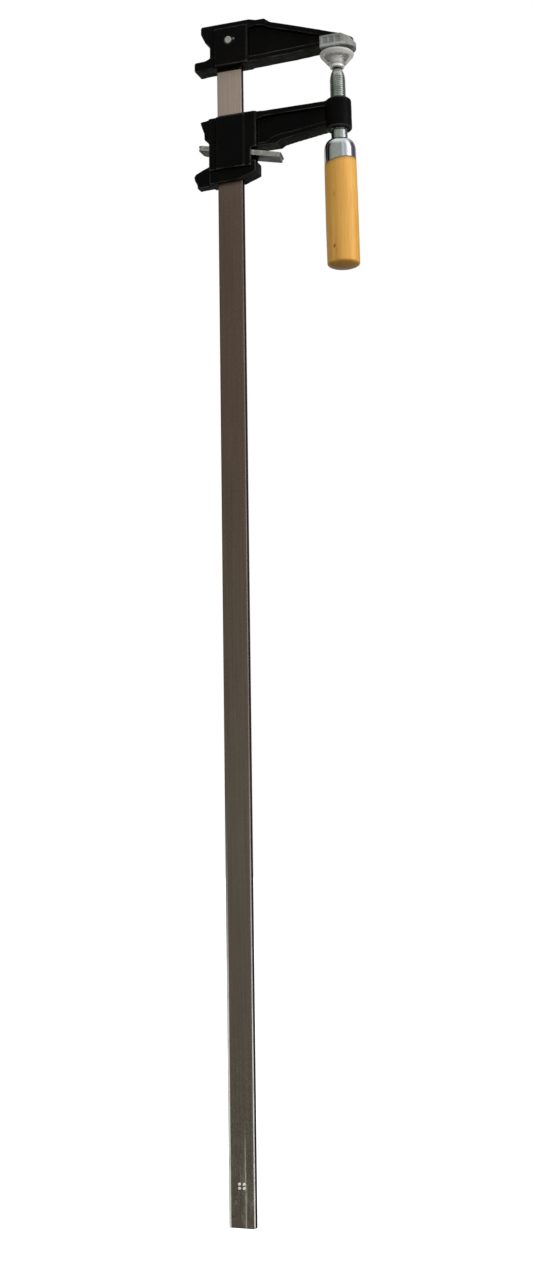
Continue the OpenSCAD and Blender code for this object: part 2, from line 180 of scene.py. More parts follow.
def applied(obj):
    """Turns the object's modifiers into plain mesh."""
    graph = bpy.context.evaluated_depsgraph_get()
    graph.update()
    mesh = bpy.data.meshes.new_from_object(obj.evaluated_get(graph))
    obj.modifiers.clear()
    obj.data = mesh
    return obj


def cad_copy(node):
    """The CAD node's mesh as a welded copy."""
    bm = bmesh.new()
    bm.from_mesh(NODES[node].data)
    bmesh.ops.remove_doubles(bm, verts=bm.verts, dist=0.02 * MM)
    return bm


def casting(node, name, voxel, rounds, wave):
    """Cast look: the CAD shape with soft edges and a slightly uneven skin."""
    obj = from_bmesh(name, cad_copy(node))
    remesh = obj.modifiers.new("grid", "REMESH")
    remesh.mode = "VOXEL"
    remesh.voxel_size = voxel * MM
    smooth = obj.modifiers.new("soft", "SMOOTH")
    smooth.factor = 0.5
    smooth.iterations = rounds
    applied(obj)
    mesh = obj.data
    mesh.shade_smooth()
    normals = [v.normal.copy() for v in mesh.vertices]
    for v, n in zip(mesh.vertices, normals):
        p = v.co / MM
        lift = noise.noise(p * 0.16) * 0.6 + noise.noise(p * 0.55 + Vector((7, 3, 1))) * 0.4
        v.co += n * (lift - 0.35) * wave * MM
    mesh.update()
    return obj


def bevelled(node, name, width):
    """A stamped plate from the CAD mesh, with its edges broken."""
    bm = cad_copy(node)
    bmesh.ops.dissolve_limit(bm, angle_limit=math.radians(1), verts=bm.verts, edges=bm.edges)
    obj = from_bmesh(name, bm)
    bevel = obj.modifiers.new("edge", "BEVEL")
    bevel.width = width * MM
    bevel.segments = 2
    bevel.limit_method = "ANGLE"
    bevel.angle_limit = math.radians(40)
    applied(obj)
    obj.data.shade_smooth()
    obj.data.set_sharp_from_angle(angle=math.radians(28))
    return obj


# ---------------------------------------------------------------- materials

class Finish:
    """One procedural material under construction."""

    def __init__(self, name, metallic=0.0, rough=0.5, specular=0.5, **sockets):
        self.mat = bpy.data.materials.new(name)
        self.mat.use_nodes = True
        self.tree = self.mat.node_tree
        self.bsdf = self.tree.nodes["Principled BSDF"]
        self.put("Metallic", metallic)
        self.put("Roughness", rough)
        self.put("Specular IOR Level", specular)
        for key, value in sockets.items():
            self.put(key.replace("_", " "), value)
        self.place = self.tree.nodes.new("ShaderNodeTexCoord").outputs["Object"]
        self.xyz = self.tree.nodes.new("ShaderNodeSeparateXYZ")
        self.tree.links.new(self.place, self.xyz.inputs[0])

    def put(self, key, value):
        """Sets or links an input of the surface."""
        self.feed(self.bsdf.inputs[key], value)

    def feed(self, socket, value):
        """Links a socket, or sets a number or a colour."""
        if isinstance(value, bpy.types.NodeSocket):
            self.tree.links.new(value, socket)
        else:
            socket.default_value = (*value, 1) if isinstance(value, tuple) and len(value) == 3 else value

    def math(self, op, a, b=0.0, c=0.0, clamp=False):
        n = self.tree.nodes.new("ShaderNodeMath")
        n.operation = op
        n.use_clamp = clamp
        for socket, value in zip(n.inputs, (a, b, c)):
            self.feed(socket, value)
        return n.outputs[0]

    def scaled(self, x, y, z):
        n = self.tree.nodes.new("ShaderNodeMapping")
        n.inputs["Scale"].default_value = (x, y, z)
        self.tree.links.new(self.place, n.inputs["Vector"])
        return n.outputs[0]

    def noise(self, scale=(1, 1, 1), detail=2.0, rough=0.5, twist=0.0):
        n = self.tree.nodes.new("ShaderNodeTexNoise")
        n.inputs["Scale"].default_value = 1.0
        n.inputs["Detail"].default_value = detail
        n.inputs["Roughness"].default_value = rough
        n.inputs["Distortion"].default_value = twist
        self.tree.links.new(self.scaled(*scale), n.inputs["Vector"])
        return n.outputs[0]

    def span(self, value, low, high, to_low=0.0, to_high=1.0, soft=True):
        n = self.tree.nodes.new("ShaderNodeMapRange")
        if soft:
            n.interpolation_type = "SMOOTHSTEP"
        for socket, v in zip(n.inputs, (value, low, high, to_low, to_high)):
            self.feed(socket, v)
        return n.outputs[0]

    def mix(self, factor, a, b):
        n = self.tree.nodes.new("ShaderNodeMix")
        n.data_type = "RGBA"
        self.feed(n.inputs[0], factor)
        self.feed(n.inputs[6], a)
        self.feed(n.inputs[7], b)
        return n.outputs[2]

    def ramp(self, value, *stops):
        n = self.tree.nodes.new("ShaderNodeValToRGB")
        self.feed(n.inputs[0], value)
        while len(n.color_ramp.elements) < len(stops):
            n.color_ramp.elements.new(0.5)
        for e, (at, colour) in zip(n.color_ramp.elements, stops):
            e.position = at
            e.color = (*colour, 1)
        return n.outputs[0]

    def bump(self, height, depth, strength=1.0):
        n = self.tree.nodes.new("ShaderNodeBump")
        n.inputs["Strength"].default_value = strength
        n.inputs["Distance"].default_value = depth
        self.feed(n.inputs["Height"], height)
        self.put("Normal", n.outputs[0])


def cast_black():
    """Semi-gloss black paint on iron: brownish where thin, tiny pale specks, painted highlights along the
    edges, fine orange peel.
    """
    f = Finish("cast_black", specular=0.09)
    patch = f.noise((45, 45, 45), 3, 0.6)
    base = f.mix(f.span(patch, 0.45, 0.75), (0.0009, 0.0009, 0.0009), (0.0030, 0.0021, 0.0015))
    speck = f.span(f.noise((900, 900, 900), 1, 0.4), 0.80, 0.86)
    base = f.mix(f.math("MULTIPLY", speck, 0.5), base, (0.09, 0.085, 0.075))
    # painted highlight: the paint is lightened on sharp edges, in broken patches, to stand in for light
    # catching the edges
    edge = f.tree.nodes.new("ShaderNodeNewGeometry").outputs["Pointiness"]
    painted_edge_highlight = f.span(f.noise((70, 70, 40), 3, 0.6), 0.35, 0.60, 0.25, 1.0)
    edge = f.math("MULTIPLY", f.span(edge, 0.508, 0.54), painted_edge_highlight)
    base = f.mix(f.math("MULTIPLY", edge, 0.85), base, (0.050, 0.048, 0.044))
    f.put("Base Color", base)
    f.put("Roughness", f.span(f.noise((130, 130, 130), 3, 0.6), 0.3, 0.7, 0.34, 0.52))
    peel = f.math("ADD", f.math("MULTIPLY", f.noise((420, 420, 420), 3, 0.6), 0.7),
                  f.math("MULTIPLY", f.noise((1700, 1700, 1700), 2, 0.5), 0.3))
    f.bump(peel, 0.0007, 0.55)
    return f.mat


def bar_steel():
    """Dull brown-grey rolled flat: paler between the jaws, painted shade just below the jaw and on the
    narrow sides, painted highlights on the long corners, streaks and scratches low down.
    """
    f = Finish("bar_steel", metallic=0.85, specular=0.4)
    x, y, z = (f.xyz.outputs[i] for i in range(3))
    streak = f.noise((620, 300, 9), 4, 0.6)
    patch = f.noise((60, 60, 14), 3, 0.6)
    dark = f.mix(patch, (0.185, 0.122, 0.092), (0.225, 0.152, 0.120))
    olive = f.mix(patch, (0.215, 0.170, 0.135), (0.265, 0.212, 0.172))
    body = f.mix(f.span(z, -0.25, -0.62), dark, olive)
    pale = f.mix(patch, (0.61, 0.47, 0.40), (0.71, 0.55, 0.475))
    body = f.mix(f.span(z, -0.112, -0.040), body, pale)
    # painted shade: the bar is nearly black just below the fixed jaw, where the jaw shades it
    body = f.mix(f.span(z, -0.0029, -0.0025), body, (0.004, 0.004, 0.004))
    body = f.mix(f.span(streak, 0.38, 0.72, 0.0, 0.16), body, (0.05, 0.04, 0.03))
    grit = f.noise((1250, 1250, 900), 3, 0.7)
    rough_end = f.span(z, -0.70, -0.86, 0.25, 0.95)
    pits = f.math("MULTIPLY", rough_end, f.span(grit, 0.50, 0.30, 0.0, 0.55))
    body = f.mix(pits, body, (0.04, 0.035, 0.028))
    grains = f.math("MULTIPLY", rough_end, f.span(grit, 0.54, 0.72, 0.0, 0.45))
    body = f.mix(grains, body, (0.62, 0.58, 0.50))
    low = f.span(z, -0.80, -0.872)
    body = f.mix(f.math("MULTIPLY", low, f.span(f.noise((240, 240, 70), 4, 0.7), 0.46, 0.72, 0, 0.75)),
                 body, (0.42, 0.40, 0.34))
    # fine scratches along the bar near its lower end, and one long broken one
    scratch = f.span(f.noise((2300, 900, 26), 2, 0.6), 0.63, 0.70)
    scratch = f.math("MULTIPLY", scratch, f.span(z, -0.76, -0.86))
    line = f.math("ABSOLUTE", f.math("SUBTRACT", x, f.math("MULTIPLY_ADD", z, -0.006, -0.0018)))
    line = f.math("MULTIPLY", f.span(line, 0.00075, 0.00015), f.span(z, -0.80, -0.845))
    line = f.math("MULTIPLY", line, f.span(f.noise((300, 300, 160), 3, 0.7), 0.30, 0.48))
    mark = f.math("MAXIMUM", f.math("MULTIPLY", scratch, 0.55), line)
    body = f.mix(f.math("MULTIPLY", mark, 0.9), body, (0.82, 0.80, 0.73))
    # painted shade: the narrow sides are darkened to near black
    side = f.math("MULTIPLY", f.span(f.math("ABSOLUTE", x), 0.00995, 0.01012),
                  f.span(f.math("ABSOLUTE", y), 0.0025, 0.0022))
    body = f.mix(f.math("MULTIPLY", side, 0.97), body, (0.006, 0.004, 0.004))
    # painted highlight: pale lines along the long corners, brighter towards the lower end
    right = f.math("MULTIPLY", f.span(x, 0.0094, 0.0098), f.span(z, -0.50, -0.86, 0.06, 0.72))
    left = f.math("MULTIPLY", f.span(x, -0.0081, -0.0085), f.span(z, -0.56, -0.76, 0.0, 1.0))
    painted_edge_highlight = f.math("MULTIPLY", f.math("MAXIMUM", left, right), f.span(f.math("ABSOLUTE", y), 0.0018, 0.0023))
    body = f.mix(f.math("MULTIPLY", painted_edge_highlight, f.span(f.noise((90, 90, 60), 3, 0.6), 0.3, 0.55, 0.7, 1.0)),
                 body, (0.93, 0.91, 0.86))
    stake = f.span(f.math("ABSOLUTE", y), 0.00303, 0.0032)
    body = f.mix(stake, body, (0.95, 0.94, 0.90))
    f.put("Base Color", body)
    f.put("Metallic", f.math("MULTIPLY_ADD", f.math("MAXIMUM", painted_edge_highlight, stake), -0.6, 0.85))
    f.put("Roughness", f.span(streak, 0.3, 0.7, 0.38, 0.5))
    f.bump(f.math("ADD", f.math("MULTIPLY", streak, 0.5), f.math("MULTIPLY", mark, -0.5)), 0.00012, 0.5)
    return f.mat


def turned_metal(name, dark, light, rough, metallic=1.0, grain=(260, 260, 900), depth=0.00004, specks=0.0):
    """Plated or turned metal: fine rings, cloudy tone and a few dull specks."""
    f = Finish(name, metallic=metallic)
    cloud = f.noise((170, 170, 170), 3, 0.6)
    base = f.mix(f.span(cloud, 0.3, 0.7), dark, light)
    if specks:
        dull = f.span(f.noise((620, 620, 620), 2, 0.6), 0.60, 0.72, 0, specks)
        base = f.mix(dull, base, (0.07, 0.07, 0.06))
    f.put("Base Color", base)
    f.put("Roughness", f.span(cloud, 0.3, 0.7, rough * 0.85, rough * 1.25))
    f.bump(f.noise(grain, 2, 0.5), depth, 0.6)
    return f.mat


def handle_wood():
    """Honey-yellow varnished hardwood: fine upright grain, pores, one small knot, dull spots."""
    f = Finish("handle_wood", specular=0.4, Coat_Weight=0.35, Coat_Roughness=0.3)
    x, y, z = (f.xyz.outputs[i] for i in range(3))
    broad = f.noise((95, 95, 7), 3, 0.55, 0.6)
    grain = f.noise((520, 520, 16), 4, 0.6, 0.3)
    pores = f.noise((1500, 1500, 45), 2, 0.6)
    base = f.ramp(broad, (0.28, (0.47, 0.225, 0.028)), (0.5, (0.56, 0.285, 0.046)),
                  (0.74, (0.65, 0.37, 0.078)))
    base = f.mix(f.span(grain, 0.36, 0.66, 0.0, 0.34), base, (0.42, 0.185, 0.022))
    base = f.mix(f.span(pores, 0.62, 0.74, 0.0, 0.4), base, (0.26, 0.105, 0.02))
    # knot and small marks
    dx = f.math("SUBTRACT", x, 0.0872)
    dz = f.math("SUBTRACT", z, -0.1585)
    far = f.math("ADD", f.math("MULTIPLY", dx, dx), f.math("MULTIPLY", f.math("MULTIPLY", dz, dz), 0.45))
    front = f.span(y, -0.004, -0.008)
    knot = f.math("MULTIPLY", f.span(far, 1.9e-6, 1.5e-7), front)
    base = f.mix(f.math("MULTIPLY", knot, 0.78), base, (0.13, 0.055, 0.015))
    dx = f.math("SUBTRACT", x, 0.0877)
    dz = f.math("SUBTRACT", z, -0.118)
    far = f.math("ADD", f.math("MULTIPLY", dx, dx), f.math("MULTIPLY", f.math("MULTIPLY", dz, dz), 0.3))
    base = f.mix(f.math("MULTIPLY", f.span(far, 2.6e-6, 3.0e-7, 0.0, 0.3), front), base, (0.20, 0.09, 0.02))
    spots = f.span(f.noise((210, 210, 120), 2, 0.7), 0.70, 0.78, 0, 0.30)
    base = f.mix(spots, base, (0.34, 0.15, 0.03))
    # darker towards the ferrule, with a near-black line along the joint
    level = f.math("MULTIPLY_ADD", f.math("SUBTRACT", x, 0.0893), -JOINT_SKEW, z)
    base = f.mix(f.span(level, -0.0935, -0.0901, 0.0, 0.5), base, (0.22, 0.11, 0.035))
    base = f.mix(f.span(level, -0.0908, -0.0903, 0.0, 0.6), base, (0.08, 0.04, 0.015))
    f.put("Base Color", base)
    f.put("Roughness", f.span(broad, 0.3, 0.7, 0.42, 0.55))
    f.bump(f.math("ADD", f.math("MULTIPLY", grain, 0.6), f.math("MULTIPLY", pores, 0.4)), 0.00012, 0.5)
    return f.mat


def clear_plastic():
    """Greyish clear soft plastic, scuffed: see-through face on, hazy at the edges and over the jaw."""
    f = Finish("clear_plastic", specular=0.5)
    x, y, z = (f.xyz.outputs[i] for i in range(3))
    cloud = f.noise((330, 330, 330), 4, 0.65)
    haze = f.mix(f.span(cloud, 0.30, 0.75), (0.205, 0.21, 0.193), (0.285, 0.29, 0.272))
    haze = f.mix(f.span(z, -0.0015, -0.0035), haze, (0.56, 0.56, 0.53))
    # cap on the fixed jaw: three grip windows and a pale lower rim
    flat = f.span(f.math("ABSOLUTE", y), 0.0094, 0.0090)
    band = f.math("MULTIPLY", f.span(z, 0.0028, 0.0033), f.span(z, 0.0084, 0.0078))
    window = f.math("MULTIPLY", flat, band)
    window = f.math("MULTIPLY", window, f.span(x, 0.0934, 0.0929))
    haze = f.mix(f.math("MULTIPLY", window, 0.7), haze, (0.085, 0.085, 0.08))
    rim = f.math("MULTIPLY", f.span(f.math("ABSOLUTE", f.math("SUBTRACT", z, 0.0019)), 0.0011, 0.0006),
                 f.span(f.math("ABSOLUTE", y), 0.0085, 0.0093))
    haze = f.mix(f.math("MULTIPLY", rim, 0.6), haze, (0.52, 0.52, 0.50))
    f.put("Base Color", haze)
    # swivel pad: distance from its own axis
    dx = f.math("SUBTRACT", x, SWIVEL_X * MM)
    out = f.math("SQRT", f.math("ADD", f.math("MULTIPLY", dx, dx), f.math("MULTIPLY", y, y)))
    below = f.span(z, -0.0018, -0.0022)
    lining = f.math("MAXIMUM", f.span(out, 0.00575, 0.00545),
                    f.math("MULTIPLY", f.span(out, 0.0099, 0.0097), f.span(z, -0.0056, -0.0054)))
    lining = f.math("MULTIPLY", lining, below)
    view = f.tree.nodes.new("ShaderNodeLayerWeight")
    view.inputs["Blend"].default_value = 0.5
    facing = f.span(view.outputs["Facing"], 0.34, 0.56, 0.03, 0.86)
    cone = f.span(z, -0.0052, -0.0066)
    opaque = f.mix(cone, (0.80, 0.80, 0.80), facing)
    alpha = f.math("MULTIPLY", opaque, f.math("SUBTRACT", 1.0, lining))
    f.put("Alpha", alpha)
    f.put("Roughness", f.span(cloud, 0.3, 0.7, 0.26, 0.42))
    f.bump(f.noise((900, 900, 900), 3, 0.6), 0.0002, 0.5)
    return f.mat


def stamped_plate():
    """Bright zinc on stamped steel, with shear lines on the edges."""
    f = Finish("plate_steel", metallic=0.9)
    cloud = f.noise((210, 210, 210), 4, 0.65)
    base = f.mix(f.span(cloud, 0.35, 0.7), (0.50, 0.50, 0.47), (0.78, 0.78, 0.74))
    base = f.mix(f.span(f.noise((500, 500, 500), 3, 0.6), 0.60, 0.74, 0, 0.6), base, (0.10, 0.095, 0.08))
    # painted shade: faces turned downwards are darkened, darkest close to the housing
    normal = f.tree.nodes.new("ShaderNodeSeparateXYZ")
    f.tree.links.new(f.tree.nodes.new("ShaderNodeNewGeometry").outputs["Normal"], normal.inputs[0])
    near = f.span(f.math("ABSOLUTE", f.xyz.outputs[0]), 0.046, 0.024, 0.8, 0.97)
    painted_underside_shade = f.math("MULTIPLY", f.span(normal.outputs[2], -0.6, -0.85), near)
    base = f.mix(painted_underside_shade, base, (0.022, 0.021, 0.018))
    f.put("Base Color", base)
    f.put("Roughness", f.span(cloud, 0.3, 0.7, 0.3, 0.5))
    f.bump(f.noise((300, 1500, 2600), 3, 0.6), 0.0001, 0.5)
    return f.mat


FINISHES = {
    "cast_black": cast_black(),
    "bar_steel": bar_steel(),
    "rivet_steel": turned_metal("rivet_steel", (0.42, 0.42, 0.41), (0.62, 0.62, 0.60), 0.42, 0.75,
                                specks=0.3),
    "pin_steel": turned_metal("pin_steel", (0.25, 0.25, 0.25), (0.5, 0.5, 0.48), 0.4, 0.9),
    "clear_plastic": clear_plastic(),
    "plate_steel": stamped_plate(),
    "spring_steel": turned_metal("spring_steel", (0.26, 0.26, 0.25), (0.42, 0.42, 0.4), 0.36),
    "screw_zinc": turned_metal("screw_zinc", (0.50, 0.55, 0.50), (0.68, 0.72, 0.67), 0.24, specks=0.5),
    "socket_zinc": turned_metal("socket_zinc", (0.86, 0.86, 0.84), (0.95, 0.95, 0.93), 0.2, 0.55),
    "ferrule_chrome": turned_metal("ferrule_chrome", (0.72, 0.73, 0.75), (0.80, 0.81, 0.83), 0.085,
                                   grain=(60, 60, 90), depth=0.00006),
    "handle_wood": handle_wood(),
}


# ---------------------------------------------------------------- pieces

def body_of(node):
    return next(b for b, made in frame["record"]["behaviour"]["bodies"].items() if node in made)


def stands_for(obj, node):
    """The piece takes the node's finish, rides on its body and is shown in its place."""
    obj.data.materials.clear()
    obj.data.materials.append(FINISHES[SLOT_OF[node]])
    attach(obj, body_of(node))
    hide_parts(node)
    return obj


def make_bar():
    """Rolled flat with rounded corners and ends, and four small punched burrs on each face."""
    lo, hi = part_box("bar")
    z0, z1 = lo.z / MM, hi.z / MM
    end_r = 0.35
    heights = [z0, z0 + 0.12, z0 + end_r]
    heights += [z0 + 2 + 6 * i for i in range(int((z1 - z0 - 4) / 6))]
    heights += [z1 - 0.4, z1]
    corners = ((1, -1, -90), (1, 1, 0), (-1, 1, 90), (-1, -1, 180))
    bm = bmesh.new()
    rings = []
    for z in heights:
        short = max(0.0, end_r - min(z - z0, z1 - z))
        r = BAR_CORNER - (end_r - math.sqrt(end_r ** 2 - short ** 2))
        points = []
        for side, face, start in corners:
            for k in range(7):
                a = math.radians(start + 15 * k)
                x = side * (BAR_HALF_W - BAR_CORNER) + r * math.cos(a)
                y = face * (BAR_HALF_T - BAR_CORNER) + r * math.sin(a)
                points.append(bm.verts.new((x * MM, y * MM, z * MM)))
        rings.append(points)
    skin(bm, rings)
    bm.faces.new(rings[0][::-1])
    bm.faces.new(rings[-1])
    burr = [(0, 0.1), (0.3, 0.16), (0.55, 0.46), (0.75, 0.55), (0.95, 0.4), (1.1, 0.05), (1.2, -0.3)]
    for face in (-1, 1):
        outwards = Matrix.Rotation(math.radians(-90 * face), 4, "X")
        for x in STAKE_XS:
            for dz in (-STAKE_DZ, STAKE_DZ):
                at = Vector((x, face * BAR_HALF_T, z0 + STAKE_UP + dz)) * MM
                lathe_into(bm, burr, Matrix.Translation(at) @ outwards, 20,
                           lambda a, z, r: 0.06 * r * math.sin(3 * a + x + dz))
    return stands_for(from_bmesh("bar_flat", bm, 40), "bar")


def make_spindle():
    """Ball, neck, dog point, helical thread and tang on the leaning axis."""
    ball = LEAN_Z + (BALL_Z - LEAN_Z) / math.cos(LEAN)
    shoulder = ball - 5.4
    thread_top = shoulder - 6.2
    tang_low = -136.0
    pitch, crest, depth = 1.75, 6.0, 0.85
    crest_share, flank = 0.26, 0.22
    segs, rows = 56, 12

    def thread(a, z):
        turn = ((thread_top - z) / pitch + a / (2 * math.pi)) % 1.0
        if turn < crest_share:
            cut = 0.0
        elif turn < crest_share + flank:
            cut = (turn - crest_share) / flank
        elif turn < 1 - flank:
            cut = 1.0
        else:
            cut = (1 - turn) / flank
        cut = cut * cut * (3 - 2 * cut)
        fade = min(1.0, max(0.0, (thread_top - z) / 3.0))
        return (crest - 0.3 * (1 - fade)) - depth * cut * (0.35 + 0.65 * fade)

    tip = [(0, ball + 4)]
    for a in range(10, 140, 8):
        tip.append((4 * math.sin(math.radians(a)), ball + 4 * math.cos(math.radians(a))))
    tip += rounded([(2.6, ball - 3.04), (2.6, shoulder), (3.5, shoulder - 0.4), (4.3, shoulder - 1.9),
                    (5.2, shoulder - 4.2), (5.62, thread_top)], 0.8)
    tang = [(TANG_R, THREAD_END - 0.01), (TANG_R, tang_low + 2), (TANG_R - 1, tang_low + 0.1), (0, tang_low)]
    count = int((thread_top - THREAD_END) / pitch * rows)
    place = screw_axis()
    bm = bmesh.new()
    rings = [ring(bm, place, z, lambda a: r, segs) for r, z in tip]
    for i in range(1, count + 1):
        z = thread_top - (thread_top - THREAD_END) * i / count
        rings.append(ring(bm, place, z, lambda a: thread(a, z), segs))
    rings += [ring(bm, place, z, lambda a: r, segs) for r, z in tang]
    skin(bm, rings)
    return stands_for(from_bmesh("screw_spindle", bm, 50), "spindle")


def make_spring():
    """Wire swept round a coil, with its turns closer at the ends."""
    lo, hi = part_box("clutch_spring")
    coil, wire, coils, per, round_wire = 2.1, 0.4, 6, 28, 10
    z0, z1 = lo.z / MM + wire, hi.z / MM - wire
    bm = bmesh.new()
    rings = []
    for i in range(coils * per + 1):
        t = i / (coils * per)
        lift = t - 0.33 * math.sin(2 * math.pi * t) / (2 * math.pi)
        a = 2 * math.pi * coils * t
        centre = Vector((SPRING_X + coil * math.cos(a), coil * math.sin(a), z0 + (z1 - z0) * lift))
        out = Vector((math.cos(a), math.sin(a), 0))
        up = Vector((0, 0, 1))
        points = []
        for k in range(round_wire):
            b = 2 * math.pi * k / round_wire
            points.append(bm.verts.new((centre + wire * (math.cos(b) * out + math.sin(b) * up)) * MM))
        rings.append(points)
    skin(bm, rings)
    bm.faces.new(rings[0][::-1])
    bm.faces.new(rings[-1])
    return stands_for(from_bmesh("coil_spring", bm, 40), "clutch_spring")


def skewed(verts, axis):
    """Tilts the joint between ferrule and wood out of square, lower on the left, fading down the grip."""
    back = axis.inverted()
    for v in verts:
        p = back @ v.co
        drop = FERRULE_LOW - p.z / MM
        if -0.4 < drop < 14 and math.hypot(p.x, p.y) > 9 * MM:
            p.z += JOINT_SKEW * p.x * min(1.0, (14 - drop) / 13)
            v.co = axis @ p


def make_collar():
    """Plain collar between the thread's end and the handle."""
    low = FERRULE_TOP + 0.02
    bore = (BORE_R, low)
    collar = rounded([(BORE_R, THREAD_END), (6.3, THREAD_END), (6.3, low), bore], 0.5)
    stands_for(lathe("screw_collar", closed(collar), screw_axis(), 64), "spindle_collar")


def make_ferrule():
    """Thin domed cup, its lower edge out of square."""
    top, low, r, wall = FERRULE_TOP, FERRULE_LOW, 12.25, 1.0
    outer = [(BORE_R, top), (6.6, top), (8.2, top - 0.7), (9.9, top - 2), (11.1, top - 3.7),
             (11.9, top - 5.9), (r, top - 8.4), (r, low), (r - wall, low)]
    inner = [(r - wall, top - 8.6), (10.8, top - 6.2), (10.1, top - 4.3), (9, top - 2.8),
             (7.7, top - 1.7), (6.2, top - 1.1), (BORE_R, top - 1.1)]
    shell = rounded(outer, [0, 0.8, 1.5, 1.8, 2.0, 2.4, 2.5, 0.3, 0], 5) + inner
    axis = screw_axis()
    ferrule = lathe("handle_ferrule", closed(shell), axis, 96, sharp=38)
    skewed(ferrule.data.vertices, axis)
    stands_for(ferrule, "ferrule")


def make_handle():
    """Turned wooden grip, a little uneven, with a spigot in the ferrule and a bore for the tang."""
    top, low, bore_r, bore_low, spigot_r = FERRULE_TOP, FERRULE_LOW, TANG_R + 0.04, -136.4, 11.21
    grip = [(bore_r, top - 1.3), (6, top - 1.3), (7.4, top - 1.9), (8.8, top - 3), (9.8, top - 4.5),
            (10.6, top - 6.4), (spigot_r, top - 8.8), (spigot_r, low - 0.04), (12.2, low - 0.04),
            (12.38, low - 0.8), (12.5, -110), (12.56, -124), (12.65, -140), (12.6, -158), (12.56, -169.2),
            (12.0, -170.1), (10.4, -170.9), (7.6, -171.6), (4, -172.1), (0, -172.3)]
    grip = rounded(grip, [0, 0, 0, 0, 0, 0, 0, 0, 0.15, 0.3, 0, 0, 0, 0, 0.5, 0.6, 1.2, 1.6, 1.6, 0], 4)
    fine = [grip[0]]
    for p, q in zip(grip, grip[1:]):
        steps = max(1, int(abs(q[1] - p[1]) / 3))
        for k in range(1, steps + 1):
            fine.append((p[0] + (q[0] - p[0]) * k / steps, p[1] + (q[1] - p[1]) * k / steps))

    def uneven(a, z, r):
        if z > low or r < 9:
            return 0
        p = Vector((math.cos(a) * 0.9, math.sin(a) * 0.9, z * 0.02))
        return -0.06 - 0.05 * noise.noise(p)

    axis = screw_axis()
    bm = bmesh.new()
    lathe_into(bm, fine, axis, 96, uneven)
    lathe_into(bm, [(bore_r, top - 1.3), (bore_r, bore_low), (0, bore_low)], axis, 96)
    bmesh.ops.remove_doubles(bm, verts=bm.verts, dist=0.001 * MM)
    skewed(bm.verts, axis)
    stands_for(from_bmesh("handle_grip", bm, 40), "handle")


def make_swivel():
    """Metal disc and hub that hold the screw's ball, and the clear cup over them; both hang upright."""
    upright = Matrix.Translation((SWIVEL_X * MM, 0, 0))
    face, hub_low, rim_low, hub_r, rim_r, disc_r = PAD_FACE, -11.7, -14.1, 5.1, 5.6, 9.5
    disc_top, disc_low = face - 1.8, face - 3.4
    mouth_r, groove_r, cup_r, groove_low = 3.65, 5.05, 4.3, -11.6
    solid = [(0, disc_top), (disc_r, disc_top), (disc_r, disc_low), (hub_r, disc_low), (hub_r, hub_low),
             (rim_r, hub_low - 0.5), (rim_r, rim_low + 0.5), (4.9, rim_low), (mouth_r, rim_low)]
    solid = rounded(solid, [0, 0.4, 0.4, 0.5, 0.4, 0.3, 0.5, 0.3, 0], 4)
    hollow = [(mouth_r, groove_low), (groove_r, groove_low), (groove_r, groove_low + 0.4),
              (cup_r, groove_low + 0.4), (cup_r, BALL_Z)]
    for a in range(10, 90, 10):
        hollow.append((cup_r * math.cos(math.radians(a)), BALL_Z + cup_r * math.sin(math.radians(a))))
    hollow.append((0, BALL_Z + cup_r))
    stands_for(lathe("ball_socket", solid + hollow, upright, 72, sharp=35), "swivel_socket")
    gap, cup_low = 0.05, -11.3
    cap = [(0, face), (12.6, face), (13.2, face - 0.7), (13.2, face - 1.4), (12.6, face - 2.4),
           (11.3, face - 3.9), (9.9, face - 5.5), (8.5, face - 7.2), (7.0, face - 8.8), (5.7, cup_low),
           (hub_r + gap, cup_low)]
    cap = rounded(cap, [0, 0.7, 0.5, 0.5, 0.8, 1.0, 1.2, 1.2, 1.0, 0.4, 0], 4)
    cap += [(hub_r + gap, disc_low - gap), (disc_r + gap, disc_low - gap), (disc_r + gap, disc_top + gap),
            (0, disc_top + gap)]
    stands_for(lathe("pad_cap_soft", cap, upright, 96, sharp=50), "swivel_pad_cap")


def across(node):
    """A frame at the node's middle whose Z runs along Y, for pins that go through the jaw."""
    lo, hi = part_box(node)
    centre = (lo + hi) / 2
    return Matrix.Translation((centre.x, 0, centre.z)) @ Matrix.Rotation(math.radians(90), 4, "X")


def make_rivets():
    """Peened rivet heads and the small pin's ends, alike on both faces of the jaw."""
    half = 8.6
    head = [(0, half - 0.15), (0.5, half - 0.1), (0.8, half + 0.22), (1.5, half + 0.33),
            (2.3, half + 0.25), (2.75, half + 0.02), (2.88, half - 0.4)]

    def peened(a, z, r):
        return 0.05 * math.sin(3 * a + 1) if r > 2.2 and abs(z) > half - 0.2 else 0

    profile = [(r, -z) for r, z in head] + head[::-1]
    stands_for(lathe("jaw_rivet_head", profile, across("jaw_rivet"), 40, peened), "jaw_rivet")
    end = [(0, 8.35), (0.45, 8.45), (0.8, 8.4), (0.88, 8.2)]
    profile = [(r, -z) for r, z in end] + end[::-1]
    stands_for(lathe("jaw_pin_end", profile, across("jaw_set_pin"), 24), "jaw_set_pin")


def make_parts():
    """Every visible piece; the two hidden ones keep their CAD shape and only take a finish."""
    make_bar()
    stands_for(casting("fixed_jaw", "jaw_casting", 0.55, 6, 0.09), "fixed_jaw")
    stands_for(casting("sliding_arm", "arm_casting", 0.55, 6, 0.09), "sliding_arm")
    stands_for(casting("fixed_jaw_cap", "jaw_cap_soft", 0.3, 4, 0.03), "fixed_jaw_cap")
    for n in ("release_plate", "clutch_plate_upper", "clutch_plate_middle", "clutch_plate_lower"):
        stands_for(bevelled(n, n + "_stamped", 0.16), n)
    make_spindle()
    make_spring()
    make_collar()
    make_ferrule()
    make_handle()
    make_swivel()
    make_rivets()
    for n in ("swivel_retaining_ring", "handle_pin"):
        NODES[n].data.materials.clear()
        NODES[n].data.materials.append(FINISHES[SLOT_OF[n]])


# ---------------------------------------------------------------- studio

